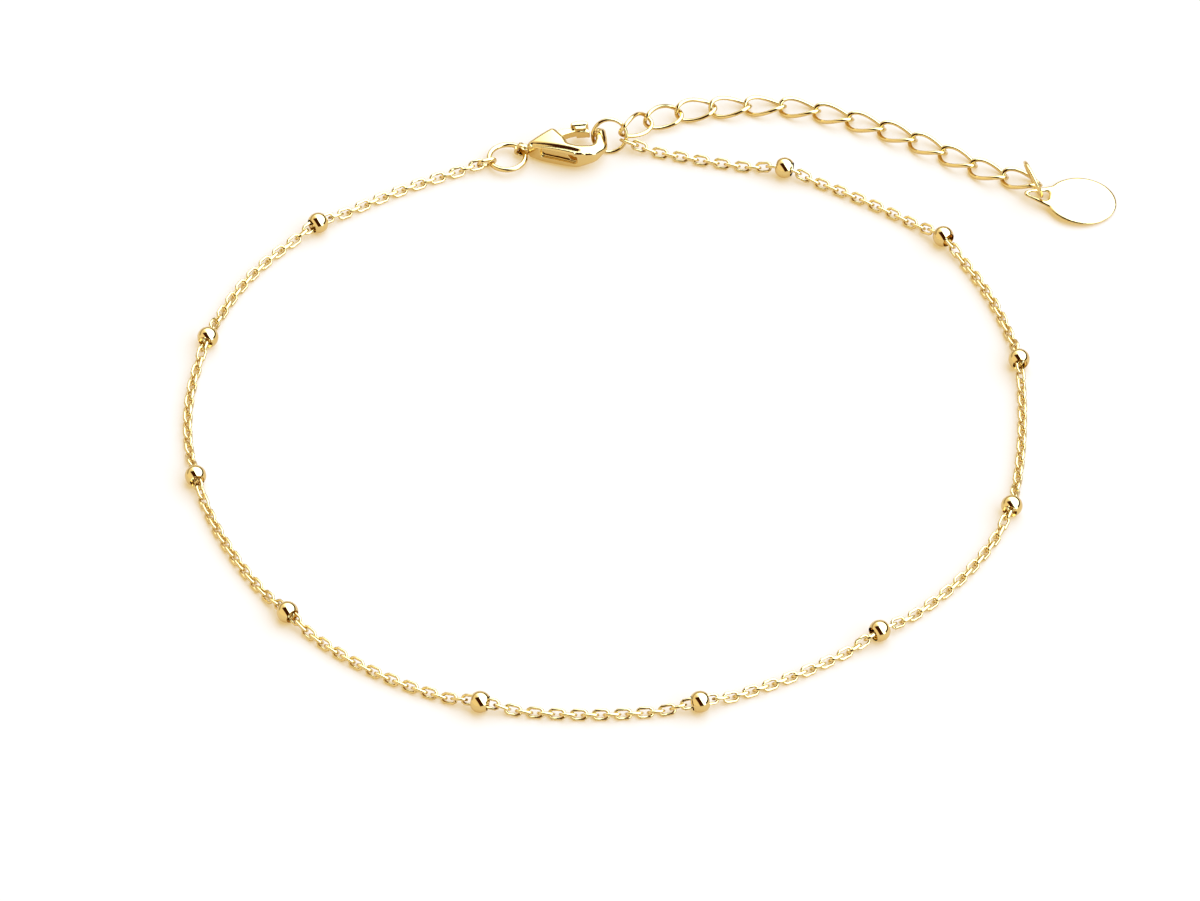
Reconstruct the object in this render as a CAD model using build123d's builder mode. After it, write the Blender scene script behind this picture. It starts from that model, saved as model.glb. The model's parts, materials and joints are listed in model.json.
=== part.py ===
from build123d import *
import os
from math import atan2, cos, degrees, hypot, pi, radians, sin

# A fine gold anklet laid out on a flat surface: a diamond-cut cable chain that
# runs through eleven drilled balls, closed by a lobster clasp on a catch ring.
# A curb extender and an oval tag hang from the catch ring.
# Millimetres, +Z up. The origin lies on the surface, inside the loop.

os.makedirs("parts", exist_ok=True)

# ------------------------------------------------------------------ sizes

# cable chain
link_wire = 0.30
link_inner_length = 1.13
link_inner_width = 0.56
link_cut = 0.05              # depth of the diamond cut on the long sides
chain_height = 0.47          # height of the chain's axis where it lies

# larger links at both ends of the chain
end_wire = 0.34
end_inner_length = 1.35
end_inner_width = 0.74

# drilled balls
ball_diameter = 2.0
ball_bore = 1.36
ball_rise = 3.0              # the chain climbs to a ball over this length

# plain rings: outer diameter and wire
catch_diameter = 3.60
catch_wire = 0.36
tail_diameter = 4.00
tail_wire = 0.50
tag_ring_diameter = 3.95
tag_ring_wire = 0.38

# curb extender
curb_wire = 0.40
curb_pitch = 3.37
curb_inner_length = 3.58     # measured before the ends are rounded
curb_width = 2.55            # outer width, measured before the twist
curb_twist = 42              # each end turns this far out of the middle plane
curb_corners = 12

# lobster clasp, measured along its length from the tail eye
clasp_half = 1.2             # half thickness at its fullest
clasp_tilt = 4.0             # the hook end sits higher than the tail
body_rounding = 0.2
pocket_height = 0.80         # slot between the cheeks that holds the trigger
trigger_height = 0.70
pivot_u = 3.05
pivot_v = 1.32
pin_diameter = 0.40
pad_start = 4.73             # cap of the thumb pad, along the clasp
pad_end = 6.42
pad_inside = 2.08            # and across it
pad_outside = 2.70
pad_half = 0.75              # half thickness of the cap, then of its stem
stem_half = 0.62
eye_outer = 1.66
eye_bore = 1.14
eye_length = 0.60
eye_v = 0.12
eye_w = -0.10
lug_length = 0.66
lug_width = 0.36
lug_half = 0.30
slot_length = 3.75           # sunk slot in the spine
slot_height = 1.15
slot_depth = 0.32
slot_w = 0.26
slot_lean = -3.0              # degrees, up towards the spring end
spring_hole_depth = 0.80     # deeper end of the slot, where the spring sits

# oval tag
tag_length = 6.7
tag_width = 6.2
tag_thickness = 0.35
tag_tilt = 4.3

# ---------------------------------------------------------- the laid loop

# Each row is one stretch of chain that ends at the point x, y: the number of
# link spaces in it, and how far the stretch bows to the left of its chord.
chain_start = (3.95, 39.98)
STRETCH_COLUMNS = ("spaces", "x", "y", "bow")
STRETCHES = [
    (15, 18.7, 35.7, -0.3),
    (18, 33.3, 25.5, 0.6),
    (18, 39.4, 8.8, 1.0),
    (19, 37.5, -10.0, 0.6),
    (20, 24.6, -24.9, 1.6),
    (19, 8.1, -32.7, 0.8),
    (20, -11.6, -31.7, 1.1),
    (22, -28.9, -19.8, 1.6),
    (20, -37.4, -2.2, 1.1),
    (18, -36.4, 15.8, 1.3),
    (19, -26.0, 30.6, 1.6),
    (18, -9.81, 38.30, 0.7),
]

# Headings of the extender from one link to the next, in degrees.
curb_start = (7.3, 43.25)
CURB_HEADINGS = [19, 6, 1, -9, -19, -25, -28, -33, -35, -34, -24]
# The first link stands in the catch ring and the next ones lean less and less:
# centre of each, heading in the plan, rise of its axis, lean off the surface.
LEANING_COLUMNS = ("x", "y", "z", "heading", "rise", "lean")
LEANING_LINKS = [
    (4.64, 41.56, 1.77, 39.0, -16.0, 68.0),
    (7.30, 43.24, 1.165, 23.5, -8.3, 45.5),
    (10.49, 44.35, 0.90, 12.5, -3.6, 27.5),
    (13.84, 44.70, 0.735, 3.5, -1.6, 10.0),
]

# centre, then two directions in the plane of each plain ring
catch_centre = Vector(2.08, 40.40, 1.62)
catch_lean = 62
tail_centre = Vector(-7.82, 38.93, 0.70)
tail_rise = 0.5
tag_ring_centre = Vector(42.26, 31.86, 1.90)
tag_ring_turn = 17
tag_ring_lean = 17

tag_centre = Vector(46.75, 30.16, 0.43)
tag_heading = -10.3

clasp_origin = Vector(-6.35, 39.60, 0.955)
clasp_heading = -1


# ------------------------------------------------------------ small tools

def heading_of(a, b):
    """Direction from one point to another in the plan, in degrees."""
    return degrees(atan2(b[1] - a[1], b[0] - a[0]))


def stretch_points(a, b, bow, count):
    """Evenly spaced points and headings on the arc that bows off the chord."""
    chord = hypot(b[0] - a[0], b[1] - a[1])
    base = heading_of(a, b)
    ux, uy = cos(radians(base)), sin(radians(base))
    points = []
    for i in range(count + 1):
        t = i / count
        side = 4 * bow * t * (1 - t)
        turn = degrees(atan2(4 * bow * (1 - 2 * t), chord))
        x = a[0] + ux * chord * t - uy * side
        y = a[1] + uy * chord * t + ux * side
        points.append((x, y, base + turn))
    return points


def ease(t):
    """Smooth step from 0 to 1."""
    t = max(0.0, min(1.0, t))
    return t * t * (3 - 2 * t)


def plane_along(centre, direction, roll):
    """Plane with x along the direction and y turned up by the roll."""
    ahead = direction.normalized()
    side = Vector(0, 0, 1).cross(ahead).normalized()
    up = ahead.cross(side)
    across = side * cos(radians(roll)) + up * sin(radians(roll))
    return Plane(origin=centre, x_dir=ahead, z_dir=ahead.cross(across))


def stadium_link(length, width, wire):
    """Round wire bent to an oval in the XY plane, long way along X."""
    middle_width = width - wire
    straight = length - width
    r = middle_width / 2
    with BuildPart() as link:
        with BuildLine() as path:
            Line((-straight / 2, -r), (straight / 2, -r))
            RadiusArc((straight / 2, -r), (straight / 2, r), -r)
            Line((straight / 2, r), (-straight / 2, r))
            RadiusArc((-straight / 2, r), (-straight / 2, -r), -r)
        with BuildSketch(Plane(origin=(-straight / 2, -r, 0), z_dir=(1, 0, 0))):
            Circle(wire / 2)
        sweep(path=path.wires()[0])
    return link.part


# ------------------------------------------------------------- the chain

stations = [(chain_start[0], chain_start[1])]
places = []
for spaces, x, y, bow in STRETCHES:
    a = stations[-1]
    row = stretch_points(a, (x, y), bow, spaces)
    places.extend(row if not places else row[1:])
    stations.append((x, y))

# where the balls sit in the run of links
ball_index = []
total = 0
for spaces, x, y, bow in STRETCHES[:-1]:
    total += spaces
    ball_index.append(total)
last_index = len(places) - 1


def axis_height(i):
    """Height of the chain's axis at a link: it climbs to pass each ball."""
    nearest = min(abs(i - k) for k in ball_index)
    ball_part = 1 - ease((nearest - 0.6) / ball_rise)
    start_part = 1 - ease(i / 2.6)
    end_part = 1 - ease((last_index - i - 1) / 2.0)
    height = chain_height
    height += (ball_diameter / 2 - chain_height) * ball_part
    height += (1.00 - chain_height) * start_part
    height += (0.70 - chain_height) * end_part
    return height


def link_roll(i):
    """Alternate links lean left and right; the last one stands up more."""
    if i == last_index:
        return -70
    return -45 if i % 2 == 0 else 45


nodes = []
for i, (x, y, heading) in enumerate(places):
    nodes.append(Vector(x, y, axis_height(i)))

link_planes = []
for i, here in enumerate(nodes):
    before = nodes[max(i - 1, 0)]
    after = nodes[min(i + 1, last_index)]
    link_planes.append(plane_along(here, after - before, link_roll(i)))

link_length = link_inner_length + 2 * link_wire
link_width = link_inner_width + 2 * link_wire
plain_link = stadium_link(link_length, link_width, link_wire)

# the long sides are cut flat, which gives the bright facets
with BuildPart() as cut_link:
    add(plain_link)
    Box(link_length + 1, link_width - 2 * link_cut, 1, mode=Mode.INTERSECT)

end_link = stadium_link(
    end_inner_length + 2 * end_wire, end_inner_width + 2 * end_wire, end_wire
)

free_links = []
for i in range(1, last_index):
    if i not in ball_index:
        free_links.append(link_planes[i].location)

with BuildPart() as chain:
    with Locations(*free_links):
        add(cut_link.part)
    with Locations(link_planes[0].location, link_planes[last_index].location):
        add(end_link)
chain.part.label = "chain"
export_step(chain.part, "parts/chain.step")

# Each ball is drilled through and soldered to the one link inside it, which
# is a little wider than the bore. The chain goes in at both ends of the bore.
ball_link = stadium_link(link_length, ball_bore + 0.12, link_wire)
bore_half = ((ball_diameter / 2) ** 2 - (ball_bore / 2) ** 2) ** 0.5
with BuildPart() as drilled_ball:
    with BuildSketch(Plane.XY):
        with BuildLine():
            ThreePointArc(
                (-bore_half, ball_bore / 2),
                (0, ball_diameter / 2),
                (bore_half, ball_bore / 2),
            )
            Line((bore_half, ball_bore / 2), (-bore_half, ball_bore / 2))
        make_face()
    revolve(axis=Axis.X)
    add(ball_link)

for number, index in enumerate(ball_index, start=1):
    with BuildPart(link_planes[index]) as bead:
        add(drilled_ball.part)
    name = f"bead_{number:02d}"
    bead.part.label = name
    export_step(bead.part, f"parts/{name}.step")

# ------------------------------------------------------------- the rings

catch_up = Vector(0, cos(radians(catch_lean)), sin(radians(catch_lean)))
catch_plane = Plane(
    origin=catch_centre, x_dir=(1, 0, 0), z_dir=Vector(1, 0, 0).cross(catch_up)
)
with BuildPart(catch_plane) as catch_ring:
    Torus((catch_diameter - catch_wire) / 2, catch_wire / 2)
catch_ring.part.label = "catch_ring"
export_step(catch_ring.part, "parts/catch_ring.step")

tail_side = Vector(cos(radians(tail_rise)), 0, sin(radians(tail_rise)))
tail_plane = Plane(
    origin=tail_centre, x_dir=tail_side, z_dir=tail_side.cross(Vector(0, 1, 0))
)
with BuildPart(tail_plane) as tail_ring:
    Torus((tail_diameter - tail_wire) / 2, tail_wire / 2)
tail_ring.part.label = "tail_ring"
export_step(tail_ring.part, "parts/tail_ring.step")

tag_ring_axis = Vector(
    cos(radians(tag_ring_turn)) * cos(radians(tag_ring_lean)),
    sin(radians(tag_ring_turn)) * cos(radians(tag_ring_lean)),
    sin(radians(tag_ring_lean)),
)
tag_ring_plane = Plane(
    origin=tag_ring_centre, x_dir=tag_ring_axis.cross(Vector(0, 1, 0)), z_dir=tag_ring_axis
)
with BuildPart(tag_ring_plane) as tag_ring:
    Torus((tag_ring_diameter - tag_ring_wire) / 2, tag_ring_wire / 2)
tag_ring.part.label = "tag_ring"
export_step(tag_ring.part, "parts/tag_ring.step")

# ---------------------------------------------------------- the extender


def curb_points():
    """Corners of one twisted oval link in its own frame, long way along X."""
    half_length = (curb_inner_length + curb_wire) / 2
    half_width = (curb_width - curb_wire) / 2
    points = []
    for i in range(curb_corners):
        t = 2 * pi * (i + 0.5) / curb_corners
        x = half_length * abs(cos(t)) ** 0.85 * (1 if cos(t) > 0 else -1)
        w = half_width * abs(sin(t)) ** 0.80 * (1 if sin(t) > 0 else -1)
        twist = radians(-curb_twist * x / half_length)
        points.append(Vector(x, w * cos(twist), w * sin(twist)))
    return points


# One twisted link, made once: straight runs joined by tangent arcs.
corners = curb_points()
corner_radii = []
for i, corner in enumerate(corners):
    run_in = corner - corners[i - 1]
    run_out = corners[(i + 1) % curb_corners] - corner
    half_turn = radians(run_in.get_angle(run_out)) / 2
    reach = 0.47 * min(run_in.length, run_out.length)
    corner_radii.append(reach * cos(half_turn) / sin(half_turn))

with BuildPart() as curb_link:
    with BuildLine() as curb_path:
        FilletPolyline(*corners, radius=corner_radii, close=True)
    for run in curb_path.edges():
        with BuildSketch(Plane(origin=run @ 0, z_dir=run % 0)):
            Circle(curb_wire / 2)
        sweep(path=run)


def resting(plane):
    """The same plane, moved so that a curb link in it lies on the surface."""
    lowest = min(plane.from_local_coords(p).Z for p in corners)
    drop = curb_wire / 2 - lowest
    return Plane(
        origin=plane.origin + Vector(0, 0, drop), x_dir=plane.x_dir, z_dir=plane.z_dir
    )


curb_centres = [Vector(*curb_start, 0)]
for heading in CURB_HEADINGS:
    step = Vector(cos(radians(heading)), sin(radians(heading)), 0) * curb_pitch
    curb_centres.append(curb_centres[-1] + step)

curb_planes = []
for x, y, z, heading, rise, lean in LEANING_LINKS:
    turn = radians(heading)
    ahead = Vector(cos(turn), sin(turn), 0) * cos(radians(rise))
    ahead += Vector(0, 0, sin(radians(rise)))
    curb_planes.append(plane_along(Vector(x, y, z), ahead, lean))

for i, centre in enumerate(curb_centres[3:], start=3):
    front = CURB_HEADINGS[min(i, len(CURB_HEADINGS) - 1)]
    middle = radians((CURB_HEADINGS[i - 1] + front) / 2)
    plane = plane_along(centre, Vector(cos(middle), sin(middle), 0), 0)
    curb_planes.append(resting(plane))

for number, plane in enumerate(curb_planes, start=1):
    with BuildPart(plane) as extender_link:
        add(curb_link.part)
    name = f"extender_link_{number:02d}"
    extender_link.part.label = name
    export_step(extender_link.part, f"parts/{name}.step")

# --------------------------------------------------------------- the tag

tag_ahead = Vector(
    cos(radians(tag_heading)) * cos(radians(tag_tilt)),
    sin(radians(tag_heading)) * cos(radians(tag_tilt)),
    -sin(radians(tag_tilt)),
)
tag_across = Vector(-sin(radians(tag_heading)), cos(radians(tag_heading)), 0)
tag_plane = Plane(
    origin=tag_centre, x_dir=tag_ahead, z_dir=tag_ahead.cross(tag_across)
)
with BuildPart() as flat_tag:
    with BuildSketch():
        Ellipse(tag_length / 2, tag_width / 2)
        with BuildLine():
            FilletPolyline(
                (-1.60, 2.13),
                (-5.47, 0.26),
                (-5.47, -0.26),
                (-1.60, -2.13),
                radius=[0.2, 0.34, 0.34, 0.2],
                close=True,
            )
        make_face()
        with BuildLine():
            FilletPolyline(
                (-3.10, 0.72),
                (-5.00, 0.23),
                (-5.00, -0.23),
                (-3.10, -0.72),
                radius=[0.4, 0.15, 0.15, 0.4],
                close=True,
            )
        make_face(mode=Mode.SUBTRACT)
    extrude(amount=tag_thickness / 2, both=True)
    faces_up_and_down = flat_tag.faces().filter_by(Axis.Z)
    fillet(faces_up_and_down.edges(), 0.07)
with BuildPart(tag_plane) as tag:
    add(flat_tag.part)
tag.part.label = "tag"
export_step(tag.part, "parts/tag.step")

# ------------------------------------------------------------- the clasp

# The clasp's own frame: u along it from the tail eye to the hook, v across
# it towards the thumb pad, w up through its thickness.
clasp_ahead = Vector(
    cos(radians(clasp_heading)) * cos(radians(clasp_tilt)),
    sin(radians(clasp_heading)) * cos(radians(clasp_tilt)),
    sin(radians(clasp_tilt)),
)
clasp_across = Vector(-sin(radians(clasp_heading)), cos(radians(clasp_heading)), 0)
clasp_plane = Plane(
    origin=clasp_origin, x_dir=clasp_ahead, z_dir=clasp_ahead.cross(clasp_across)
)

# the flat run of the spine's wall, seen from outside
spine_plane = Plane(
    origin=(3.52, -1.63, 0), x_dir=(0.932, -0.362, 0), z_dir=(-0.362, -0.932, 0)
)

BODY_COLUMNS = ("u", "v", "radius")
BODY_OUTLINE = [
    (0.58, 0.50, 0.22),      # tail, thumb side
    (3.10, 1.95, 0.55),      # shoulder
    (4.15, 0.45, 0.80),
    (4.55, -0.52, 0.70),     # hole that holds the catch ring
    (5.60, -0.85, 1.50),
    (6.85, -0.68, 0.70),
    (7.10, 0.25, 0.80),
    (7.18, 1.95, 0.30),      # tip of the hook
    (8.00, 1.95, 0.45),
    (8.18, 0.60, 0.80),
    (8.22, -0.75, 1.20),     # nose
    (7.10, -1.98, 1.20),
    (5.20, -2.28, 1.30),     # spine
    (1.70, -0.92, 1.00),
    (0.58, -0.30, 0.22),     # tail, spine side
]

with BuildPart() as body:
    with BuildSketch():
        with BuildLine():
            FilletPolyline(
                *[(u, v) for u, v, radius in BODY_OUTLINE],
                radius=[radius for u, v, radius in BODY_OUTLINE],
                close=True,
            )
        make_face()
    extrude(amount=clasp_half + 0.1, both=True)
    # thick in the middle, thin at the nose and the tail
    with BuildSketch(Plane.XZ):
        with BuildLine():
            top = ThreePointArc((-0.4, 0.40), (4.2, clasp_half), (8.8, 0.22))
            bottom = ThreePointArc((-0.4, -0.76), (3.6, -1.11), (8.8, -0.22))
            Line(top @ 0, bottom @ 0)
            Line(top @ 1, bottom @ 1)
        make_face()
    extrude(amount=5, both=True, mode=Mode.INTERSECT)
    # the strand that ends in the hook's tip thins towards the thumb side
    for side in (1, -1):
        with BuildSketch(Plane.YZ.offset(5.6)):
            Polygon(
                (0.0, 0.92 * side),
                (2.6, 0.25 * side),
                (2.6, 2.0 * side),
                (0.0, 2.0 * side),
                align=None,
            )
        extrude(amount=4, mode=Mode.SUBTRACT)
    # rounded along the top and the bottom, the upright corners stay as drawn
    rims = body.edges().filter_by(
        lambda e: e.geom_type != GeomType.LINE or abs((e % 0.5).Z) < 0.9
    )
    fillet(rims, body_rounding)
    # the hook is bevelled underneath, where the catch ring passes it
    with BuildSketch(Plane.XZ.offset(0.2)):
        Polygon((6.90, 0.10), (7.06, 0.10), (7.60, -0.90), (6.90, -0.90), align=None)
    extrude(amount=-1.9, mode=Mode.SUBTRACT)
    # lug on the hook that the trigger closes against
    with BuildSketch():
        with Locations((6.97, 1.44)):
            RectangleRounded(lug_length, lug_width, 0.1)
    extrude(amount=lug_half, both=True)
    # slot between the cheeks, where the trigger turns
    with BuildSketch():
        Polygon((2.56, 2.7), (2.56, 0.80), (2.95, 0.52), (5.0, 0.40), (5.0, 2.7), align=None)
    extrude(amount=pocket_height / 2, both=True, mode=Mode.SUBTRACT)
    with Locations((pivot_u, pivot_v, 0)):
        Cylinder(pin_diameter / 2, pocket_height + 0.4)
    # tail eye, its bore across the clasp
    with BuildSketch(Plane.XZ.offset(-eye_v)):
        with Locations((0, eye_w)):
            Circle(eye_outer / 2)
    extrude(amount=eye_length / 2, both=True)
    with BuildSketch(Plane.XZ.offset(-eye_v)):
        with Locations((0, eye_w)):
            Circle(eye_bore / 2)
    extrude(amount=eye_length, both=True, mode=Mode.SUBTRACT)
    # slot sunk in the spine, deeper at the end where the spring sits
    with BuildSketch(spine_plane):
        with Locations((0, slot_w)):
            RectangleRounded(slot_length, slot_height, 0.3, rotation=slot_lean)
    extrude(amount=-slot_depth, mode=Mode.SUBTRACT)
    with BuildSketch(spine_plane):
        Polygon((0.70, 0.78), (1.84, 0.78), (1.84, -0.12), (1.10, -0.12), align=None)
    extrude(amount=-spring_hole_depth, mode=Mode.SUBTRACT)

with BuildPart(clasp_plane) as clasp_body:
    add(body.part)
clasp_body.part.label = "clasp_body"
export_step(clasp_body.part, "parts/clasp_body.step")

# The trigger turns on the pin. Its thumb pad is a rounded cap on a flared stem,
# both thicker than the arm.
with BuildPart() as lever:
    with BuildSketch():
        with BuildLine():
            FilletPolyline(
                (pivot_u, pivot_v - 0.38),
                (4.40, 1.44),
                (5.10, 1.62),
                (6.10, 1.42),
                (6.53, 1.28),
                (6.54, 1.64),
                (6.36, 1.95),
                (5.10, 2.15),
                (3.75, 2.12),
                (2.86, 1.62),
                radius=[0.1, 0.3, 0.6, 0.5, 0.1, 0.1, 0.15, 0.5, 0.5, 0.1],
                close=True,
            )
        make_face()
        with Locations((pivot_u, pivot_v)):
            Circle(0.40)
            Circle(pin_diameter / 2 + 0.05, mode=Mode.SUBTRACT)
    extrude(amount=trigger_height / 2, both=True)
    with BuildSketch():
        with BuildLine():
            left = ThreePointArc((5.22, 1.66), (5.13, 1.94), (4.86, 2.20))
            right = ThreePointArc((6.30, 2.20), (6.20, 1.98), (6.18, 1.66))
            Line(left @ 1, right @ 0)
            Line(right @ 1, left @ 0)
        make_face()
    extrude(amount=stem_half, both=True)
    with BuildSketch():
        with BuildLine():
            FilletPolyline(
                (pad_start, pad_inside),
                (pad_end, pad_inside),
                (pad_end, pad_outside - 0.22),
                (pad_end - 0.45, pad_outside),
                (pad_start + 0.45, pad_outside),
                (pad_start, pad_outside - 0.32),
                radius=[0.16, 0.18, 0.16, 0.40, 0.50, 0.16],
                close=True,
            )
        make_face()
    extrude(amount=pad_half, both=True)
    cap_faces = lever.faces().filter_by(lambda f: abs(f.center().Z) > pad_half - 0.01)
    fillet(cap_faces.edges(), 0.12)

with BuildPart(clasp_plane) as clasp_trigger:
    add(lever.part)
clasp_trigger.part.label = "clasp_trigger"
export_step(clasp_trigger.part, "parts/clasp_trigger.step")
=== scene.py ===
"""Fine chain anklet: the dressed pieces, their finishes and the studio."""

import json
import math

import bmesh
import bpy
import numpy as np
from mathutils import Matrix, Vector
from mathutils.kdtree import KDTree


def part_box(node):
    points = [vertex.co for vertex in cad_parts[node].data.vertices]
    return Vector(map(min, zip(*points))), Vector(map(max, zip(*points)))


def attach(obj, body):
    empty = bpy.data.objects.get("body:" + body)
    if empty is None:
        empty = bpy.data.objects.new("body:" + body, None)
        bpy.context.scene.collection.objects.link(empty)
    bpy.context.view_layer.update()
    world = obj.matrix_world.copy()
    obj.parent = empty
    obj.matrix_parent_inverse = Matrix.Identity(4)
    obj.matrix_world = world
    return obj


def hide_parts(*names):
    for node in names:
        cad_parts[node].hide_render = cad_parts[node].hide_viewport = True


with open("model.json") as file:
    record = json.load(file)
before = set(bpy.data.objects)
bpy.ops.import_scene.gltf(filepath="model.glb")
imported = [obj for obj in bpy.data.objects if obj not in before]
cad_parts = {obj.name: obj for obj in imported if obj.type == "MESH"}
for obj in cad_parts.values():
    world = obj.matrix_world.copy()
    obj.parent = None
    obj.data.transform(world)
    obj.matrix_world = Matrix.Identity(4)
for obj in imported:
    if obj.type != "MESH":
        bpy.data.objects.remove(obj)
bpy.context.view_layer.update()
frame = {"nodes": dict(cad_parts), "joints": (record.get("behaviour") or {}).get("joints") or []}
NODES = frame["nodes"]
MM = 0.001
WELD = 1e-7                       # corners nearer than this are one, in metres

# steps along and round each shape, which set how finely it is cut into faces
END_LINK_STEPS, END_LINK_SIDES = 46, 16
HELD_LINK_STEPS, HELD_LINK_SIDES = 30, 12
BALL_STEPS, BALL_SIDES = 64, 40
RING_STEPS, RING_SIDES = 120, 24
CURB_STEPS, CURB_SIDES = 72, 16

# links, balls and rings
FLAT_NEARNESS = 0.004             # share of its distance within which a point is on a flat
HELD_LEAN = math.radians(45)      # turn of the link inside each ball, about the chain
SOLDER = 0.1                      # how far that link sinks into the ball in all, in mm
RING_TRIM = 0.999                 # keeps the smooth rings inside the solid ones
SEAM_SHARPNESS, SEAM_PINCH = 81, 0.04
CURB_END_FULLNESS, CURB_SIDE_FULLNESS = 0.85, 0.80    # 1 is an oval, less is fuller
BALL_CRISP = 40                   # a ball's edges sharper than this, in degrees, stay crisp

# clasp, in mm from its tail end: three (along, up) points on each arched face
CLASP_TOP = ((-0.4, 0.40), (4.2, 1.2), (8.8, 0.22))
CLASP_BOTTOM = ((-0.4, -0.76), (3.6, -1.11), (8.8, -0.22))
# a line on its top (along, across) with the spine's lip outside it
SPINE_LIP = ((1.02, -0.27), (5.38, -1.83))
LIP_WIDTH = 0.45
LIP_STEP = 0.03
LIP_RISE = 2.2                    # how much steeper the lip rises than the face falls

# rounds of tumbling that each cast piece gets
CAST_ROUNDS = 4
CLASP_ROUNDS = 5
TRIGGER_ROUNDS = 3
TAG_ROUNDS = 2
WEAR = 0.5                        # how far a corner moves to its neighbours' middle

# how the faces and the side walls of a cast piece are told apart
ON_FACE = 0.05                    # distance from the face, in mm
FACE_LEAN, WALL_LEAN = 0.96, 0.35
WALL_BAND = (0.12, 0.3)           # depth under the face, in mm
MOST_FALL = 0.35                  # the most that a face falls, as a share of the thickness
FADE_DEPTH = 0.5                  # how far under the face the fall ends, as such a share

# gold of each kind of piece: its roughness, the grain of its tone per metre, the
# depth of its fine marks in metres and how much of the richer gold shows
GOLDS = {
    "chain gold": (0.10, 900, 4e-6, 0.25),
    "ball gold": (0.045, 500, 1.5e-6, 0.35),
    "ring gold": (0.07, 700, 3e-6, 0.5),
    "extender gold": (0.08, 700, 3e-6, 0.5),
    "tag gold": (0.11, 400, 2e-6, 0.45),
    "clasp gold": (0.10, 500, 4e-6, 0.6),
}
# the specks and the polishing marks of every gold, by that grain
FINE_GRAIN = 9
MARK_GRAIN = 1.6
MARK_TURN = (0.3, 0.2, 0.6)
MARK_STRETCH = (1.0, 14.0, 6.0)
FINE_SHARE = 0.4                  # height of the specks beside that of the marks

# light from each direction (right, back, up); each pair of numbers is where a soft
# edge starts and ends, and the tops of the strip and the dusk are minus their heights
BOX_SIDE = (0.869, 0.355, 0.343)  # the way to the soft box
BACK_EDGE = (0.1, 0.35)
BOX_FRONT_EDGE = (0.24, 0.29)
BOX_BACK_EDGE = (-0.1, 0.62)
BOX_FOOT, BOX_FOOT_RISE = (0.02, 0.1), 0.5    # its lower edge, and its rise to the back
GAP_LEFT, GAP_RIGHT = (-0.40, -0.34), (0.25, 0.29)
STRIP_SIDE, STRIP_EDGE, STRIP_TOP = (0.95, 0.3), (0.6, 0.7), (-0.36, -0.26)
DUSK_TOP, DUSK_DEPTH = (-0.42, -0.3), 0.55

FLOOR_HALF = 3                    # half the floor's width, in metres
FLOOR_CORNERS = ((-1, -1), (1, -1), (1, 1), (-1, 1))
FLOOR_ROUGHNESS, FLOOR_SHEEN = 0.9, 0.1
FRAME_WIDTH = 36                  # of the camera, in mm
NEAREST_SEEN = 0.01               # in metres

bl_info = {
    "name": "Fine Chain Anklet",
    "version": (1, 0, 0),
    "blender": (4, 5, 0),
    "location": "3D View > Sidebar > Anklet",
    "description": "Dresses a laid chain anklet: links, balls, rings, extender, tag and clasp",
    "category": "Object",
}

BEAD_NODES = sorted(name for name in NODES if name.startswith("bead_"))
EXTENDER_NODES = sorted(name for name in NODES if name.startswith("extender_link_"))


def length(name, description, default):
    """A length property in millimetres, shown as it is typed."""
    return bpy.props.FloatProperty(name=name, description=description, default=default, min=0)


# ------------------------------------------------------------------ settings


class ChainSettings(bpy.types.PropertyGroup):
    """Sizes of the cable chain's links, in millimetres."""

    wire: length("Wire", "Thickness of a link's wire in mm", 0.30)
    inner_length: length("Inner length", "Length of a link's opening in mm", 1.13)
    inner_width: length("Inner width", "Width of a link's opening in mm", 0.56)
    cut: length("Cut depth", "How deep the flats are cut into the long sides in mm", 0.05)
    end_wire: length("End wire", "Wire of the two end links in mm", 0.34)
    end_inner_length: length("End inner length", "Opening of the end links in mm", 1.35)
    end_inner_width: length("End inner width", "Opening of the end links in mm", 0.74)
    path_points: bpy.props.IntProperty(
        name="Path points",
        description="Steps along a link's wire; 10, 14 or 18 leave its sides straight",
        default=10,
        min=10,
    )
    wire_sides: bpy.props.IntProperty(
        name="Wire sides", description="Steps round a link's wire", default=6, min=5
    )


class PartSettings(bpy.types.PropertyGroup):
    """Sizes of the balls, extender links, clasp and tag, in millimetres."""

    ball: length("Ball", "Diameter of a ball in mm", 2.0)
    bore: length("Bore", "Hole through a ball in mm", 1.36)
    curb_wire: length("Extender wire", "Wire of the extender links in mm", 0.40)
    curb_length: length("Extender length", "Opening of an extender link in mm", 3.46)
    curb_width: length("Extender width", "Outer width of an extender link in mm", 2.44)
    curb_twist: bpy.props.FloatProperty(
        name="Twist",
        description="How far each end of an extender link turns out of its middle plane",
        default=math.radians(42),
        subtype="ANGLE",
        unit="ROTATION",
    )
    cast_grain: length("Cast detail", "Grain of the cast surfaces' mesh in mm", 0.04)
    clasp_drop: length(
        "Clasp drop", "How far the clasp's faces fall towards the outline in mm", 0.26
    )
    clasp_reach: length("Clasp reach", "How far in from the outline they fall in mm", 0.55)
    pivot_along: length("Pivot along", "The pivot from the clasp's tail end in mm", 3.05)
    pivot_across: length("Pivot across", "The pivot from the clasp's middle line in mm", 1.32)
    tag_drop: length("Tag drop", "How far the tag's faces fall towards the rim in mm", 0.14)
    tag_reach: length("Tag reach", "How far in from the rim they fall in mm", 0.32)


class GoldSettings(bpy.types.PropertyGroup):
    """Colours of the plating."""

    pale: bpy.props.FloatVectorProperty(
        name="Pale gold",
        description="Colour of the plating where it is brightest",
        default=(0.73, 0.52, 0.195),
        size=3,
        subtype="COLOR",
    )
    rich: bpy.props.FloatVectorProperty(
        name="Rich gold",
        description="Colour of the plating where it is thicker",
        default=(0.60, 0.39, 0.115),
        size=3,
        subtype="COLOR",
    )


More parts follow.
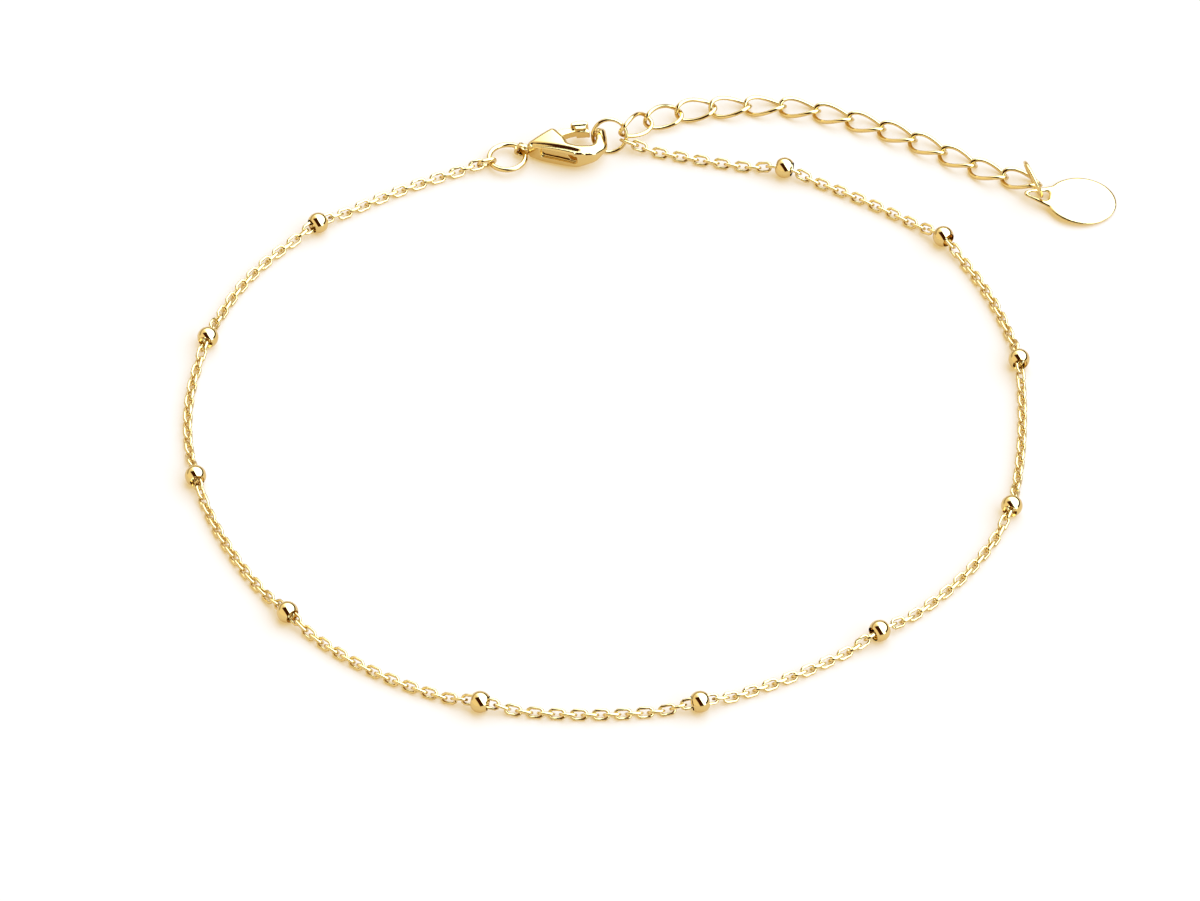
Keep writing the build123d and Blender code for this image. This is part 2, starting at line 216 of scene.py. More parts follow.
class StageSettings(bpy.types.PropertyGroup):
    """Floor, light and camera."""

    floor: bpy.props.FloatVectorProperty(
        name="Floor",
        description="Colour of the floor",
        default=(0.245, 0.245, 0.245),
        size=3,
        subtype="COLOR",
    )
    glow: bpy.props.FloatVectorProperty(
        name="Floor glow",
        description="Warm light that comes up through the floor, as on a light table",
        default=(0.6, 0.41, 0.12),
        size=3,
        subtype="COLOR",
    )
    dark: bpy.props.FloatVectorProperty(
        name="Dark gap",
        description="Colour of the gaps between the lights",
        default=(0.06, 0.013, 0.001),
        size=3,
        subtype="COLOR",
    )
    key: bpy.props.FloatVectorProperty(
        name="Soft box",
        description="Light of the large soft box at the right and overhead",
        default=(3.6, 5.2, 7.8),
        size=3,
        soft_max=10,
    )
    tent: bpy.props.FloatVectorProperty(
        name="Tent",
        description="Light of the warm tent at the left",
        default=(1.25, 1.2, 1.05),
        size=3,
        soft_max=10,
    )
    distance: bpy.props.FloatProperty(
        name="Camera distance",
        description="How far the camera is from the middle of the anklet",
        default=0.71,
        unit="LENGTH",
    )
    elevation: bpy.props.FloatProperty(
        name="Camera elevation",
        description="How far the camera looks down",
        default=math.radians(46),
        subtype="ANGLE",
        unit="ROTATION",
    )
    roll: bpy.props.FloatProperty(
        name="Camera roll",
        description="How far the camera leans to the side",
        default=math.radians(-2.2),
        subtype="ANGLE",
        unit="ROTATION",
    )
    lens: bpy.props.FloatProperty(
        name="Lens", description="Focal length in mm on a 36 mm wide frame", default=230
    )


# ----------------------------------------------------------------- node trees


class Value:
    """A socket that can be used in sums: an expression on it adds Math nodes."""

    def __init__(self, tree, socket):
        self.tree = tree
        self.socket = socket

    def maths(self, operation, *others):
        """A Math node with this value first."""
        kinds = {"operation": operation}
        values = dict(enumerate((self, *others)))
        return self.tree.add("ShaderNodeMath", kinds, values)

    def __add__(self, other):
        return self.maths("ADD", other)

    def __mul__(self, other):
        return self.maths("MULTIPLY", other)

    def __sub__(self, other):
        return self.maths("SUBTRACT", other)

    def __rsub__(self, other):
        return (self * -1) + other

    def __pow__(self, other):
        return self.maths("POWER", other)

    def __abs__(self):
        return self.maths("ABSOLUTE")

    __radd__ = __add__
    __rmul__ = __mul__


class Tree:
    """Adds nodes to a shader or geometry tree and links them as it goes."""

    def __init__(self, tree):
        self.tree = tree

    def add(self, kind, settings=None, values=None, out=0):
        """One node: its settings first, then what each of its inputs gets."""
        node = self.tree.nodes.new(kind)
        for name, setting in (settings or {}).items():
            setattr(node, name, setting)
        for name, value in (values or {}).items():
            self.feed(node.inputs[name], value)
        return Value(self, node.outputs[out]) if node.outputs else node

    def parts(self, vector, count=3):
        """The first parts of a vector, as values."""
        node = self.tree.nodes.new("ShaderNodeSeparateXYZ")
        self.feed(node.inputs[0], vector)
        return [Value(self, node.outputs[i]) for i in range(count)]

    def step(self, value, low, high):
        """0 below low, 1 above high, with a soft change between them."""
        return self.add(
            "ShaderNodeMapRange",
            {"interpolation_type": "SMOOTHSTEP"},
            {"Value": value, "From Min": low, "From Max": high},
        )

    def blend(self, factor, first, second):
        """One colour over another."""
        values = {"Factor": factor}
        for slot, colour in ((6, first), (7, second)):
            values[slot] = colour if isinstance(colour, Value) else (*colour, 1)
        return self.add("ShaderNodeMix", {"data_type": "RGBA"}, values, out=2)

    def feed(self, socket, value):
        """Links a value to a socket, or sets the socket to a constant."""
        if isinstance(value, Value):
            self.tree.links.new(value.socket, socket)
        else:
            socket.default_value = value


def geometry_tree(name, inputs):
    """A new Geometry Nodes group with a geometry input and the named ones."""
    group = bpy.data.node_groups.new(name, "GeometryNodeTree")
    faces = group.interface
    faces.new_socket("Geometry", in_out="INPUT", socket_type="NodeSocketGeometry")
    for label, kind in inputs:
        faces.new_socket(label, in_out="INPUT", socket_type=kind)
    faces.new_socket("Geometry", in_out="OUTPUT", socket_type="NodeSocketGeometry")
    tree = Tree(group)
    source = group.nodes.new("NodeGroupInput")
    sockets = {s.name: Value(tree, s) for s in source.outputs if s.name}
    return tree, sockets


def end_tree(tree, geometry):
    """Links the finished geometry to the group's output."""
    last = tree.tree.nodes.new("NodeGroupOutput")
    tree.feed(last.inputs["Geometry"], geometry)
    return tree.tree


def set_out(tree, points, shape, material):
    """Instances of a shape on turned points, realized, with their material."""
    turn = tree.add(
        "GeometryNodeInputNamedAttribute", {"data_type": "FLOAT_VECTOR"}, {"Name": "turn"}
    )
    spin = tree.add("FunctionNodeEulerToRotation", None, {"Euler": turn})
    copies = tree.add(
        "GeometryNodeInstanceOnPoints",
        None,
        {"Points": points, "Instance": shape, "Rotation": spin},
    )
    real = tree.add("GeometryNodeRealizeInstances", None, {"Geometry": copies})
    return tree.add("GeometryNodeSetMaterial", None, {"Geometry": real, "Material": material})


def run_tree(obj, group, values):
    """Runs a tree on an object and keeps the result as its plain mesh."""
    modifier = obj.modifiers.new(group.name, "NODES")
    modifier.node_group = group
    for item in group.interface.items_tree:
        if item.in_out == "INPUT" and item.name in values:
            modifier[item.identifier] = values[item.name]
    return settle(obj)


def settle(obj):
    """Applies an object's modifiers by swapping in its evaluated mesh."""
    graph = bpy.context.evaluated_depsgraph_get()
    mesh = bpy.data.meshes.new_from_object(obj.evaluated_get(graph), depsgraph=graph)
    obj.modifiers.clear()
    obj.data = mesh
    mesh.name = obj.name
    return obj


# --------------------------------------------------------------- mesh helpers


def new_object(name, mesh):
    """A mesh object in the scene, at the origin."""
    obj = bpy.data.objects.new(name, mesh)
    bpy.context.scene.collection.objects.link(obj)
    return obj


def merged_copy(node):
    """A welded copy of a frame node's mesh."""
    shape = bmesh.new()
    shape.from_mesh(NODES[node].data)
    bmesh.ops.remove_doubles(shape, verts=shape.verts, dist=WELD)
    return shape


def loose_parts(shape):
    """Groups of faces that hang together."""
    groups = []
    seen = set()
    for first in shape.faces:
        if first.index in seen:
            continue
        seen.add(first.index)
        group = [first]
        for face in group:
            for edge in face.edges:
                for other in edge.link_faces:
                    if other.index not in seen:
                        seen.add(other.index)
                        group.append(other)
        groups.append(group)
    return groups


def placing(faces):
    """Middle, turn and length of a part: X the longest way, Z the flattest."""
    corners = np.array([[v.co[:] for v in f.verts[:3]] for f in faces])
    middles = corners.mean(axis=1)
    areas = np.array([f.calc_area() for f in faces])
    centre = (middles * areas[:, None]).sum(axis=0) / areas.sum()
    arms = corners - centre
    spread = np.einsum("f,fki,fkj->ij", areas, arms, arms)
    directions = np.linalg.eigh(spread)[1]
    ahead, across = directions[:, 2], directions[:, 1]
    basis = Matrix((ahead, across, np.cross(ahead, across))).transposed()
    reach = np.ptp(arms.reshape(-1, 3) @ ahead)
    return centre, basis.to_euler(), reach


def point_cloud(name, places):
    """A mesh of bare points that carry the turn of what stands on them."""
    mesh = bpy.data.meshes.new(name)
    mesh.from_pydata([tuple(centre) for centre, turn in places], [], [])
    turns = mesh.attributes.new("turn", "FLOAT_VECTOR", "POINT")
    turns.data.foreach_set("vector", np.array([tuple(turn) for _, turn in places]).ravel())
    return new_object(name, mesh)


def smooth(obj, angle=None):
    """Smooth shading, with edges sharper than the angle kept crisp."""
    mesh = obj.data
    mesh.shade_smooth()
    if angle is not None:
        mesh.set_sharp_from_angle(angle=math.radians(angle))
    return obj


def finish(obj, body, nodes):
    """Hands a finished piece to the frame."""
    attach(obj, body)
    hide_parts(*nodes)
    return obj


# ------------------------------------------------------------------ materials


def gold(name):
    """Polished gold plating with faint wear, by the table's row of that name."""
    polish, grain, scratch, tone = GOLDS[name]
    colours = bpy.context.scene.anklet_gold
    material = bpy.data.materials.new(name)
    material.use_nodes = True
    material.node_tree.nodes.clear()
    tree = Tree(material.node_tree)
    place = tree.add("ShaderNodeTexCoord", out=3)
    cloud = tree.add("ShaderNodeTexNoise", None, {"Vector": place, "Scale": grain, "Detail": 3})
    fine = tree.add(
        "ShaderNodeTexNoise", None, {"Vector": place, "Scale": grain * FINE_GRAIN, "Detail": 4}
    )
    marks = tree.add(
        "ShaderNodeMapping",
        None,
        {"Vector": place, "Rotation": MARK_TURN, "Scale": MARK_STRETCH},
    )
    lines = tree.add(
        "ShaderNodeTexNoise", None, {"Vector": marks, "Scale": grain * MARK_GRAIN, "Detail": 5}
    )
    colour = tree.blend(cloud * tone, colours.pale, colours.rich)
    rough = fine * (polish * 0.5) + lines * (polish * 0.5) + polish * 0.5
    relief = lines + fine * FINE_SHARE
    bump = tree.add(
        "ShaderNodeBump", None, {"Height": relief, "Distance": scratch, "Strength": 0.5}
    )
    shader = tree.add(
        "ShaderNodeBsdfPrincipled",
        None,
        {"Base Color": colour, "Metallic": 1.0, "Roughness": rough, "Normal": bump},
    )
    tree.add("ShaderNodeOutputMaterial", None, {"Surface": shader})
    return material


# ------------------------------------------------------------------ operators


def link_tree():
    """Cable links: a bent wire with cut flats, set out on turned points."""
    tree, inputs = geometry_tree(
        "Cable Links",
        [
            ("Wire", "NodeSocketFloat"),
            ("Inner Length", "NodeSocketFloat"),
            ("Inner Width", "NodeSocketFloat"),
            ("Cut", "NodeSocketFloat"),
            ("Path Points", "NodeSocketInt"),
            ("Wire Sides", "NodeSocketInt"),
            ("Material", "NodeSocketMaterial"),
        ],
    )
    wire = inputs["Wire"]
    radius = (inputs["Inner Width"] + wire) * 0.5
    straight = (inputs["Inner Length"] - inputs["Inner Width"]) * 0.5
    bend = tree.add(
        "GeometryNodeCurvePrimitiveCircle",
        None,
        {"Resolution": inputs["Path Points"], "Radius": radius},
    )
    place = tree.add("GeometryNodeInputPosition")
    x = tree.add("ShaderNodeSeparateXYZ", None, {"Vector": place})
    push = tree.add("ShaderNodeCombineXYZ", None, {"X": x.maths("SIGN") * straight})
    oval = tree.add("GeometryNodeSetPosition", None, {"Geometry": bend, "Offset": push})
    section = tree.add(
        "GeometryNodeCurvePrimitiveCircle",
        None,
        {"Resolution": inputs["Wire Sides"], "Radius": wire * 0.5},
    )
    tube = tree.add("GeometryNodeCurveToMesh", None, {"Curve": oval, "Profile Curve": section})
    # the cut leaves a flat on each long side
    limit = radius + wire * 0.5 - inputs["Cut"]
    here = tree.add("GeometryNodeInputPosition")
    px, py, pz = tree.parts(here)
    clamped = tree.add(
        "ShaderNodeClamp", None, {"Value": py, "Min": limit * -1, "Max": limit}
    )
    flat = tree.add("ShaderNodeCombineXYZ", None, {"X": px, "Y": clamped, "Z": pz})
    cut = tree.add("GeometryNodeSetPosition", None, {"Geometry": tube, "Position": flat})
    on_flat = abs(py).maths("COMPARE", limit, limit * FLAT_NEARNESS)
    soft = tree.add(
        "GeometryNodeSetShadeSmooth", None, {"Geometry": cut, "Shade Smooth": 1 - on_flat}
    )
    return end_tree(tree, set_out(tree, inputs["Geometry"], soft, inputs["Material"]))


class ANKLET_OT_chain(bpy.types.Operator):
    """Cable chain: diamond-cut links and the two larger end links"""

    bl_idname = "anklet.chain"
    bl_label = "Cable Chain"

    def execute(self, context):
        sizes = context.scene.anklet_chain
        shape = merged_copy("chain")
        shape.faces.index_update()
        places, ends = [], []
        limit = (sizes.inner_length + sizes.end_inner_length) / 2 + 2 * sizes.wire
        for faces in loose_parts(shape):
            centre, turn, reach = placing(faces)
            (ends if reach > limit * MM else places).append((centre, turn))
        shape.free()
        if len(ends) != 2:
            raise RuntimeError("the chain should have two end links")
        group = link_tree()
        material = gold("chain gold")
        shared = {
            "Path Points": sizes.path_points,
            "Wire Sides": sizes.wire_sides,
            "Material": material,
        }
        links = run_tree(
            point_cloud("cable_links", places),
            group,
            {
                "Wire": sizes.wire * MM,
                "Inner Length": sizes.inner_length * MM,
                "Inner Width": sizes.inner_width * MM,
                "Cut": sizes.cut * MM,
                **shared,
            },
        )
        larger = run_tree(
            point_cloud("end_links", ends),
            group,
            {
                "Wire": sizes.end_wire * MM,
                "Inner Length": sizes.end_inner_length * MM,
                "Inner Width": sizes.end_inner_width * MM,
                "Cut": 0.0,
                **shared,
                "Path Points": END_LINK_STEPS,
                "Wire Sides": END_LINK_SIDES,
            },
        )
        finish(links, "anklet", ["chain"])
        finish(larger, "anklet", ["chain"])
        return {"FINISHED"}


def ball_tree():
    """Drilled balls: a half section swept round the bore, set out on points."""
    tree, inputs = geometry_tree(
        "Drilled Balls",
        [
            ("Diameter", "NodeSocketFloat"),
            ("Bore", "NodeSocketFloat"),
            ("Material", "NodeSocketMaterial"),
        ],
    )
    outer = inputs["Diameter"] * 0.5
    inner = inputs["Bore"] * 0.5
    half = (outer * outer - inner * inner) ** 0.5
    start = tree.add("ShaderNodeCombineXYZ", None, {"Y": half})
    top = tree.add("ShaderNodeCombineXYZ", None, {"X": outer - inner})
    stop = tree.add("ShaderNodeCombineXYZ", None, {"Y": half * -1})
    arc = tree.add(
        "GeometryNodeCurveArc",
        {"mode": "POINTS"},
        {"Resolution": BALL_SIDES, "Start": start, "Middle": top, "End": stop},
    )
    closed = tree.add("GeometryNodeSetSplineCyclic", None, {"Geometry": arc, "Cyclic": True})
    ring = tree.add(
        "GeometryNodeCurvePrimitiveCircle", None, {"Resolution": BALL_STEPS, "Radius": inner}
    )
    up = tree.add("GeometryNodeSetCurveNormal", {"mode": "Z_UP"}, {"Curve": ring})
    body = tree.add("GeometryNodeCurveToMesh", None, {"Curve": up, "Profile Curve": closed})
    lying = tree.add(
        "GeometryNodeTransform", None, {"Geometry": body, "Rotation": (0, math.pi / 2, 0)}
    )
    return end_tree(tree, set_out(tree, inputs["Geometry"], lying, inputs["Material"]))


class ANKLET_OT_balls(bpy.types.Operator):
    """Balls: drilled through, with the link inside each"""

    bl_idname = "anklet.balls"
    bl_label = "Balls"

    def execute(self, context):
        sizes = context.scene.anklet_parts
        chain = context.scene.anklet_chain
        shape = merged_copy("chain")
        shape.faces.index_update()
        links = [placing(faces) for faces in loose_parts(shape)]
        shape.free()
        centres = np.array([centre for centre, turn, reach in links])
        places = []
        inside = []
        for node in BEAD_NODES:
            low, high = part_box(node)
            middle = (low + high) / 2
            gaps = np.linalg.norm(centres - np.array(middle), axis=1)
            near = np.argsort(gaps)[:2]
            ahead = Vector(centres[near[0]] - centres[near[1]]).normalized()
            across = Vector((0, 0, 1)).cross(ahead).normalized()
            basis = Matrix((ahead, across, ahead.cross(across))).transposed()
            places.append((middle, basis.to_euler()))
            lean = basis @ Matrix.Rotation(HELD_LEAN, 3, "X")
            inside.append((middle, lean.to_euler()))
        material = gold("ball gold")
        balls = run_tree(
            point_cloud("balls", places),
            ball_tree(),
            {
                "Diameter": sizes.ball * MM,
                "Bore": sizes.bore * MM,
                "Material": material,
            },
        )
        smooth(balls, BALL_CRISP)
        held = run_tree(
            point_cloud("held_links", inside),
            bpy.data.node_groups["Cable Links"],
            {
                "Wire": chain.wire * MM,
                "Inner Length": chain.inner_length * MM,
                "Inner Width": (sizes.bore - 2 * chain.wire + SOLDER) * MM,
                "Cut": 0.0,
                "Path Points": HELD_LINK_STEPS,
                "Wire Sides": HELD_LINK_SIDES,
                "Material": bpy.data.materials["chain gold"],
            },
        )
        finish(balls, "anklet", BEAD_NODES)
        finish(held, "anklet", BEAD_NODES)
        return {"FINISHED"}


def ring_tree():
    """One plain ring of round wire with a soldered seam."""
    tree, inputs = geometry_tree(
        "Wire Ring",
        [
            ("Outer", "NodeSocketFloat"),
            ("Wire", "NodeSocketFloat"),
            ("Material", "NodeSocketMaterial"),
        ],
    )
    wire = inputs["Wire"]
    path = tree.add(
        "GeometryNodeCurvePrimitiveCircle",
        None,
        {"Resolution": RING_STEPS, "Radius": (inputs["Outer"] - wire) * 0.5},
    )
    # the wire is pinched a little where it was soldered
    along = tree.add("GeometryNodeSplineParameter")
    seam = (along * (2 * math.pi)).maths("COSINE") ** SEAM_SHARPNESS
    pinch = 1 - seam * SEAM_PINCH
    thick = tree.add("GeometryNodeSetCurveRadius", None, {"Curve": path, "Radius": pinch})
    section = tree.add(
        "GeometryNodeCurvePrimitiveCircle",
        None,
        {"Resolution": RING_SIDES, "Radius": wire * 0.5},
    )
    tube = tree.add("GeometryNodeCurveToMesh", None, {"Curve": thick, "Profile Curve": section})
    return end_tree(tree, set_out(tree, inputs["Geometry"], tube, inputs["Material"]))


class ANKLET_OT_rings(bpy.types.Operator):
    """Rings: catch ring, tail ring and tag ring"""

    bl_idname = "anklet.rings"
    bl_label = "Rings"

    def execute(self, context):
        material = gold("ring gold")
        group = ring_tree()
        for node in ("catch_ring", "tail_ring", "tag_ring"):
            shape = merged_copy(node)
            faces = list(shape.faces)
            centre, turn, reach = placing(faces)
            flattest = turn.to_matrix().col[2]
            spans = [abs((v.co - Vector(centre)).dot(flattest)) for v in shape.verts]
            shape.free()
            ring = run_tree(
                point_cloud(node.replace("ring", "wire_ring"), [(centre, turn)]),
                group,
                {"Outer": reach * RING_TRIM, "Wire": 2 * max(spans), "Material": material},
            )
            smooth(ring)
            finish(ring, "anklet", [node])
        return {"FINISHED"}


def curb_tree():
    """Extender links: an oval wire twisted end to end, set out on points."""
    tree, inputs = geometry_tree(
        "Twisted Links",
        [
            ("Wire", "NodeSocketFloat"),
            ("Length", "NodeSocketFloat"),
            ("Width", "NodeSocketFloat"),
            ("Twist", "NodeSocketFloat"),
            ("Material", "NodeSocketMaterial"),
        ],
    )
    wire = inputs["Wire"]
    half_length = (inputs["Length"] + wire) * 0.5
    half_width = (inputs["Width"] - wire) * 0.5
    path = tree.add(
        "GeometryNodeCurvePrimitiveCircle", None, {"Resolution": CURB_STEPS, "Radius": 1.0}
    )
    here = tree.add("GeometryNodeInputPosition")
    cx, cy = tree.parts(here, 2)
    x = (abs(cx) ** CURB_END_FULLNESS) * cx.maths("SIGN")
    w = (abs(cy) ** CURB_SIDE_FULLNESS) * cy.maths("SIGN") * half_width
    angle = x * inputs["Twist"] * -1
    bent = tree.add(
        "ShaderNodeCombineXYZ",
        None,
        {"X": x * half_length, "Y": w * angle.maths("COSINE"), "Z": w * angle.maths("SINE")},
    )
    oval = tree.add("GeometryNodeSetPosition", None, {"Geometry": path, "Position": bent})
    section = tree.add(
        "GeometryNodeCurvePrimitiveCircle",
        None,
        {"Resolution": CURB_SIDES, "Radius": wire * 0.5},
    )
    tube = tree.add("GeometryNodeCurveToMesh", None, {"Curve": oval, "Profile Curve": section})
    return end_tree(tree, set_out(tree, inputs["Geometry"], tube, inputs["Material"]))


class ANKLET_OT_extender(bpy.types.Operator):
    """Extender: twisted curb links"""

    bl_idname = "anklet.extender"
    bl_label = "Extender"

    def execute(self, context):
        sizes = context.scene.anklet_parts
        places = []
        for node in EXTENDER_NODES:
            shape = merged_copy(node)
            centre, turn, reach = placing(list(shape.faces))
            shape.free()
            places.append((centre, turn))
        links = run_tree(
            point_cloud("curb_links", places),
            curb_tree(),
            {
                "Wire": sizes.curb_wire * MM,
                "Length": sizes.curb_length * MM,
                "Width": sizes.curb_width * MM,
                "Twist": sizes.curb_twist,
                "Material": gold("extender gold"),
            },
        )
        smooth(links)
        finish(links, "anklet", EXTENDER_NODES)
        return {"FINISHED"}


def arc_height(along, start, middle, stop):
    """Height of the arc through three (along, up) points at each place along."""
    (x1, y1), (x2, y2), (x3, y3) = start, middle, stop
    sums = np.array([x1 * x1 + y1 * y1, x2 * x2 + y2 * y2, x3 * x3 + y3 * y3])
    rows = np.array([[x1, y1, 1.0], [x2, y2, 1.0], [x3, y3, 1.0]])
    across, up, rest = np.linalg.solve(rows, sums)
    centre = np.array((across, up)) / 2
    radius = math.sqrt(rest + centre @ centre)
    bulge = np.sqrt(radius**2 - (along - centre[0]) ** 2)
    return centre[1] + math.copysign(1, y2 - centre[1]) * bulge


def line_frame(line):
    """A line's start, the way along it, the way out to its right, and its span."""
    start, stop = (np.array(end) for end in line)
    span = np.linalg.norm(stop - start)
    ahead = (stop - start) / span
    return start, ahead, np.array((ahead[1], -ahead[0])), span


def inside_lip(rim, lip):
    """An outline whose stretch outside the lip's line is drawn in to that line."""
    start, ahead, outwards, span = line_frame(lip)
    along, out = (rim - start) @ ahead, (rim - start) @ outwards
    kept = rim[(along < 0) | (along > span) | (out < 0) | (out > LIP_WIDTH * 2)]
    line = start + np.arange(0, span, LIP_STEP)[:, None] * ahead
    return np.concatenate((kept, line))


def beyond_lip(places, lip):
    """Which places lie outside the lip's line."""
    start, _, outwards, _ = line_frame(lip)
    return (places - start) @ outwards > 0


def crown(obj, origin, basis, faces, drop, reach, lip=None):
    """Lets the two faces of a slab fall away towards its outline.

    basis holds the slab's directions (along, across, up) as rows; faces gives
    the heights of its top and its bottom, in mm, at each place along it. The
    top can keep a raised lip on its outline, outside the line that lip gives.
    """
    mesh = obj.data
    count = len(mesh.vertices)
    places = np.empty(count * 3)
    normals = np.empty(count * 3)
    mesh.vertices.foreach_get("co", places)
    mesh.vertices.foreach_get("normal", normals)
    places = (places.reshape(-1, 3) - origin) @ basis.T / MM
    leans = normals.reshape(-1, 3) @ basis[2]
    top, bottom = faces(places[:, 0])
    thick = top - bottom
    shift = np.zeros(count)
    for face, side in ((top, 1), (bottom, -1)):
        depth = (face - places[:, 2]) * side
        on_face = (np.abs(depth) < ON_FACE) & (leans * side > FACE_LEAN)
        shift[on_face] += depth[on_face] * side
        in_band = (depth > WALL_BAND[0]) & (depth < WALL_BAND[1])
        rim = places[in_band & (np.abs(leans) < WALL_LEAN), :2]
        if lip and side > 0:
            rim = inside_lip(rim, lip)
        outline = KDTree(len(rim))
        for index, (along, across) in enumerate(rim):
            outline.insert((along, across, 0), index)
        outline.balance()
        gaps = np.array([outline.find((*place, 0))[2] for place in places[:, :2]])
        if lip and side > 0:
            gaps[beyond_lip(places[:, :2], lip)] *= LIP_RISE
        fall = np.minimum(drop, thick * MOST_FALL) * np.clip(1 - gaps / reach, 0, 1) ** 2
        shift -= fall * np.clip(1 - depth / (thick * FADE_DEPTH), 0, 1) * side
    places[:, 2] += shift
    moved = places * MM @ basis + origin
    mesh.vertices.foreach_set("co", moved.ravel())
    mesh.update()


def cast_piece(name, node, grain, material):
    """A cast and tumbled copy of a node: its edges flow into each other."""
    shape = merged_copy(node)
    mesh = bpy.data.meshes.new(name)
    shape.to_mesh(mesh)
    shape.free()
    obj = new_object(name, mesh)
    cast = obj.modifiers.new("cast", "REMESH")
    cast.mode = "VOXEL"
    cast.voxel_size = grain * MM
    tumble(obj, CAST_ROUNDS)
    obj.data.materials.clear()
    obj.data.materials.append(material)
    return obj


def tumble(obj, rounds):
    """Wears the edges of a mesh down a little."""
    wear = obj.modifiers.new("tumble", "SMOOTH")
    wear.factor = WEAR
    wear.iterations = rounds
    settle(obj)
    smooth(obj)


class ANKLET_OT_tag(bpy.types.Operator):
    """Tag: the oval disc with its pierced tab, its faces bare"""

    bl_idname = "anklet.tag"
    bl_label = "Tag"

    def execute(self, context):
        sizes = context.scene.anklet_parts
        shape = merged_copy("tag")
        centre, turn, _ = placing(list(shape.faces))
        basis = np.array(turn.to_matrix().transposed())
        heights = [(np.array(v.co) - centre) @ basis[2] / MM for v in shape.verts]
        shape.free()
        top, bottom = max(heights), min(heights)
        material = gold("tag gold")
        disc = cast_piece("tag_disc", "tag", sizes.cast_grain, material)
        crown(
            disc,
            centre,
            basis,
            lambda along: (np.full_like(along, top), np.full_like(along, bottom)),
            sizes.tag_drop,
            sizes.tag_reach,
        )
        tumble(disc, TAG_ROUNDS)
        finish(disc, "anklet", ["tag"])
        return {"FINISHED"}


class ANKLET_OT_clasp(bpy.types.Operator):
    """Clasp: the cast body and its sprung trigger"""

    bl_idname = "anklet.clasp"
    bl_label = "Lobster Clasp"

    def execute(self, context):
        sizes = context.scene.anklet_parts
        material = gold("clasp gold")
        body = cast_piece("cast_body", "clasp_body", sizes.cast_grain, material)
        trigger = cast_piece("cast_trigger", "clasp_trigger", sizes.cast_grain, material)
        hinge = frame["joints"][0]
        up = -Vector(hinge["axis"]).normalized()
        across = up.cross(Vector((0, 0, 1))).normalized()
        along = across.cross(up)
        tail = Vector(hinge["pos_m"])
        tail -= (along * sizes.pivot_along + across * sizes.pivot_across) * MM
        crown(
            body,
            np.array(tail),
            np.array((along, across, up)),
            self.faces,
            sizes.clasp_drop,
            sizes.clasp_reach,
            SPINE_LIP,
        )
        tumble(body, CLASP_ROUNDS)
        tumble(trigger, TRIGGER_ROUNDS)
        finish(body, "anklet", ["clasp_body"])
        finish(trigger, "trigger", ["clasp_trigger"])
        return {"FINISHED"}

    @staticmethod
    def faces(along):
        """Heights of the clasp's arched top and bottom."""
        return arc_height(along, *CLASP_TOP), arc_height(along, *CLASP_BOTTOM)


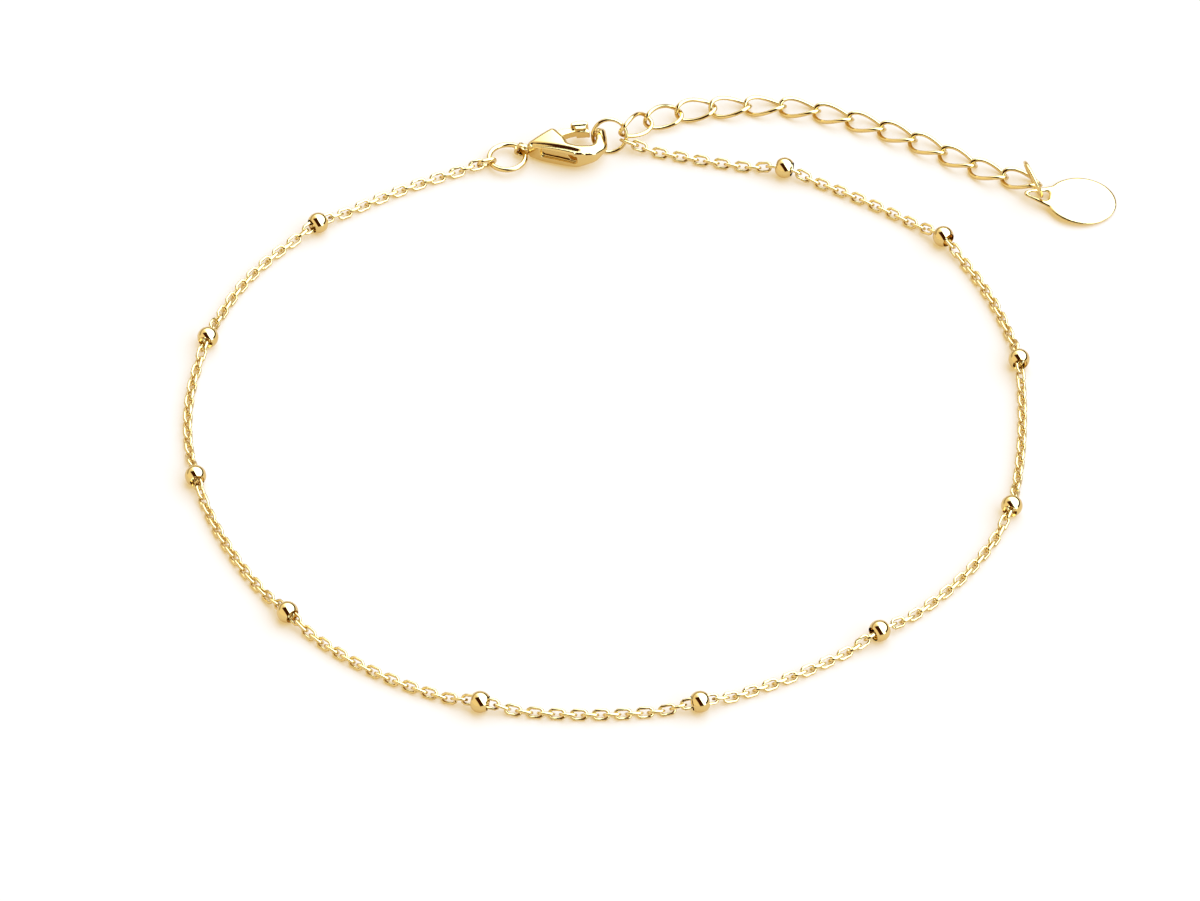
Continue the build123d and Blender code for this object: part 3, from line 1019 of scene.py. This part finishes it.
class ANKLET_OT_stage(bpy.types.Operator):
    """Stage: pale lit floor, soft light all round and the camera"""

    bl_idname = "anklet.stage"
    bl_label = "Stage"

    def execute(self, context):
        stage = context.scene.anklet_stage
        mesh = bpy.data.meshes.new("floor")
        corners = [(x * FLOOR_HALF, y * FLOOR_HALF, 0) for x, y in FLOOR_CORNERS]
        mesh.from_pydata(corners, [], [(0, 1, 2, 3)])
        floor = new_object("floor", mesh)
        material = bpy.data.materials.new("floor paper")
        material.use_nodes = True
        shader = material.node_tree.nodes["Principled BSDF"]
        shader.inputs["Base Color"].default_value = (*stage.floor, 1)
        shader.inputs["Roughness"].default_value = FLOOR_ROUGHNESS
        shader.inputs["Specular IOR Level"].default_value = FLOOR_SHEEN
        shader.inputs["Emission Color"].default_value = (*stage.glow, 1)
        shader.inputs["Emission Strength"].default_value = 1.0
        mesh.materials.append(material)
        self.surround(stage)
        self.camera(stage)
        context.scene.view_settings.view_transform = "Standard"
        return {"FINISHED"}

    @staticmethod
    def surround(stage):
        """A soft box at the right and overhead, a warm tent at the left.

        A dark gap runs between them over the front half, the tent dims low at
        the back, and a dark strip lies low at the right.
        """
        world = bpy.data.worlds.new("tent")
        bpy.context.scene.world = world
        world.use_nodes = True
        world.node_tree.nodes.clear()
        tree = Tree(world.node_tree)
        x, y, z = tree.parts(tree.add("ShaderNodeTexCoord", out=0))
        side = x * BOX_SIDE[0] + y * BOX_SIDE[1] + z * BOX_SIDE[2]
        back = tree.step(y, *BACK_EDGE)
        front = 1 - back
        edge = tree.step(side, *BOX_FRONT_EDGE) * front + tree.step(side, *BOX_BACK_EDGE) * back
        box = edge * tree.step(z - y * BOX_FOOT_RISE, *BOX_FOOT)
        gap = tree.step(side, *GAP_LEFT) * (1 - tree.step(side, *GAP_RIGHT)) * front
        dusk = back * tree.step(z * -1, *DUSK_TOP) * DUSK_DEPTH
        strip = tree.step(x * STRIP_SIDE[0] + y * STRIP_SIDE[1], *STRIP_EDGE)
        strip = strip * tree.step(z * -1, *STRIP_TOP)
        colour = tree.blend(gap, stage.tent, stage.dark)
        colour = tree.blend(box, colour, stage.key)
        colour = tree.blend(dusk, colour, stage.dark)
        colour = tree.blend(strip, colour, stage.dark)
        light = tree.add("ShaderNodeBackground", None, {"Color": colour, "Strength": 1.0})
        tree.add("ShaderNodeOutputWorld", None, {"Surface": light})

    @staticmethod
    def camera(stage):
        """The camera looks down at the middle of the anklet from afar."""
        data = bpy.data.cameras.new("camera")
        data.sensor_width = FRAME_WIDTH
        data.lens = stage.lens
        data.clip_start = NEAREST_SEEN
        camera = bpy.data.objects.new("camera", data)
        bpy.context.scene.collection.objects.link(camera)
        back = Vector((0, -math.cos(stage.elevation), math.sin(stage.elevation)))
        turn = back.to_track_quat("Z", "Y").to_matrix() @ Matrix.Rotation(stage.roll, 3, "Z")
        camera.matrix_world = Matrix.Translation(back * stage.distance) @ turn.to_4x4()
        bpy.context.scene.camera = camera


OPERATORS = (
    ANKLET_OT_chain,
    ANKLET_OT_balls,
    ANKLET_OT_rings,
    ANKLET_OT_extender,
    ANKLET_OT_tag,
    ANKLET_OT_clasp,
    ANKLET_OT_stage,
)


class ANKLET_PT_panel(bpy.types.Panel):
    """Sizes, colours and the steps that make each piece"""

    bl_idname = "ANKLET_PT_panel"
    bl_label = "Fine Chain Anklet"
    bl_space_type = "VIEW_3D"
    bl_region_type = "UI"
    bl_category = "Anklet"

    def draw(self, context):
        layout = self.layout
        for name in ("anklet_chain", "anklet_parts", "anklet_gold", "anklet_stage"):
            settings = getattr(context.scene, name)
            box = layout.box()
            for key in settings.__annotations__:
                box.prop(settings, key)
        for operator in OPERATORS:
            layout.operator(operator.bl_idname)


SETTINGS = {
    "anklet_chain": ChainSettings,
    "anklet_parts": PartSettings,
    "anklet_gold": GoldSettings,
    "anklet_stage": StageSettings,
}


def register():
    for name, group in SETTINGS.items():
        bpy.utils.register_class(group)
        setattr(bpy.types.Scene, name, bpy.props.PointerProperty(type=group))
    for cls in (*OPERATORS, ANKLET_PT_panel):
        bpy.utils.register_class(cls)


def unregister():
    for cls in reversed((*OPERATORS, ANKLET_PT_panel)):
        bpy.utils.unregister_class(cls)
    for name, group in SETTINGS.items():
        delattr(bpy.types.Scene, name)
        bpy.utils.unregister_class(group)


def main():
    register()
    bpy.ops.anklet.chain()
    bpy.ops.anklet.balls()
    bpy.ops.anklet.rings()
    bpy.ops.anklet.extender()
    bpy.ops.anklet.tag()
    bpy.ops.anklet.clasp()
    bpy.ops.anklet.stage()


if __name__ == "__main__":
    main()
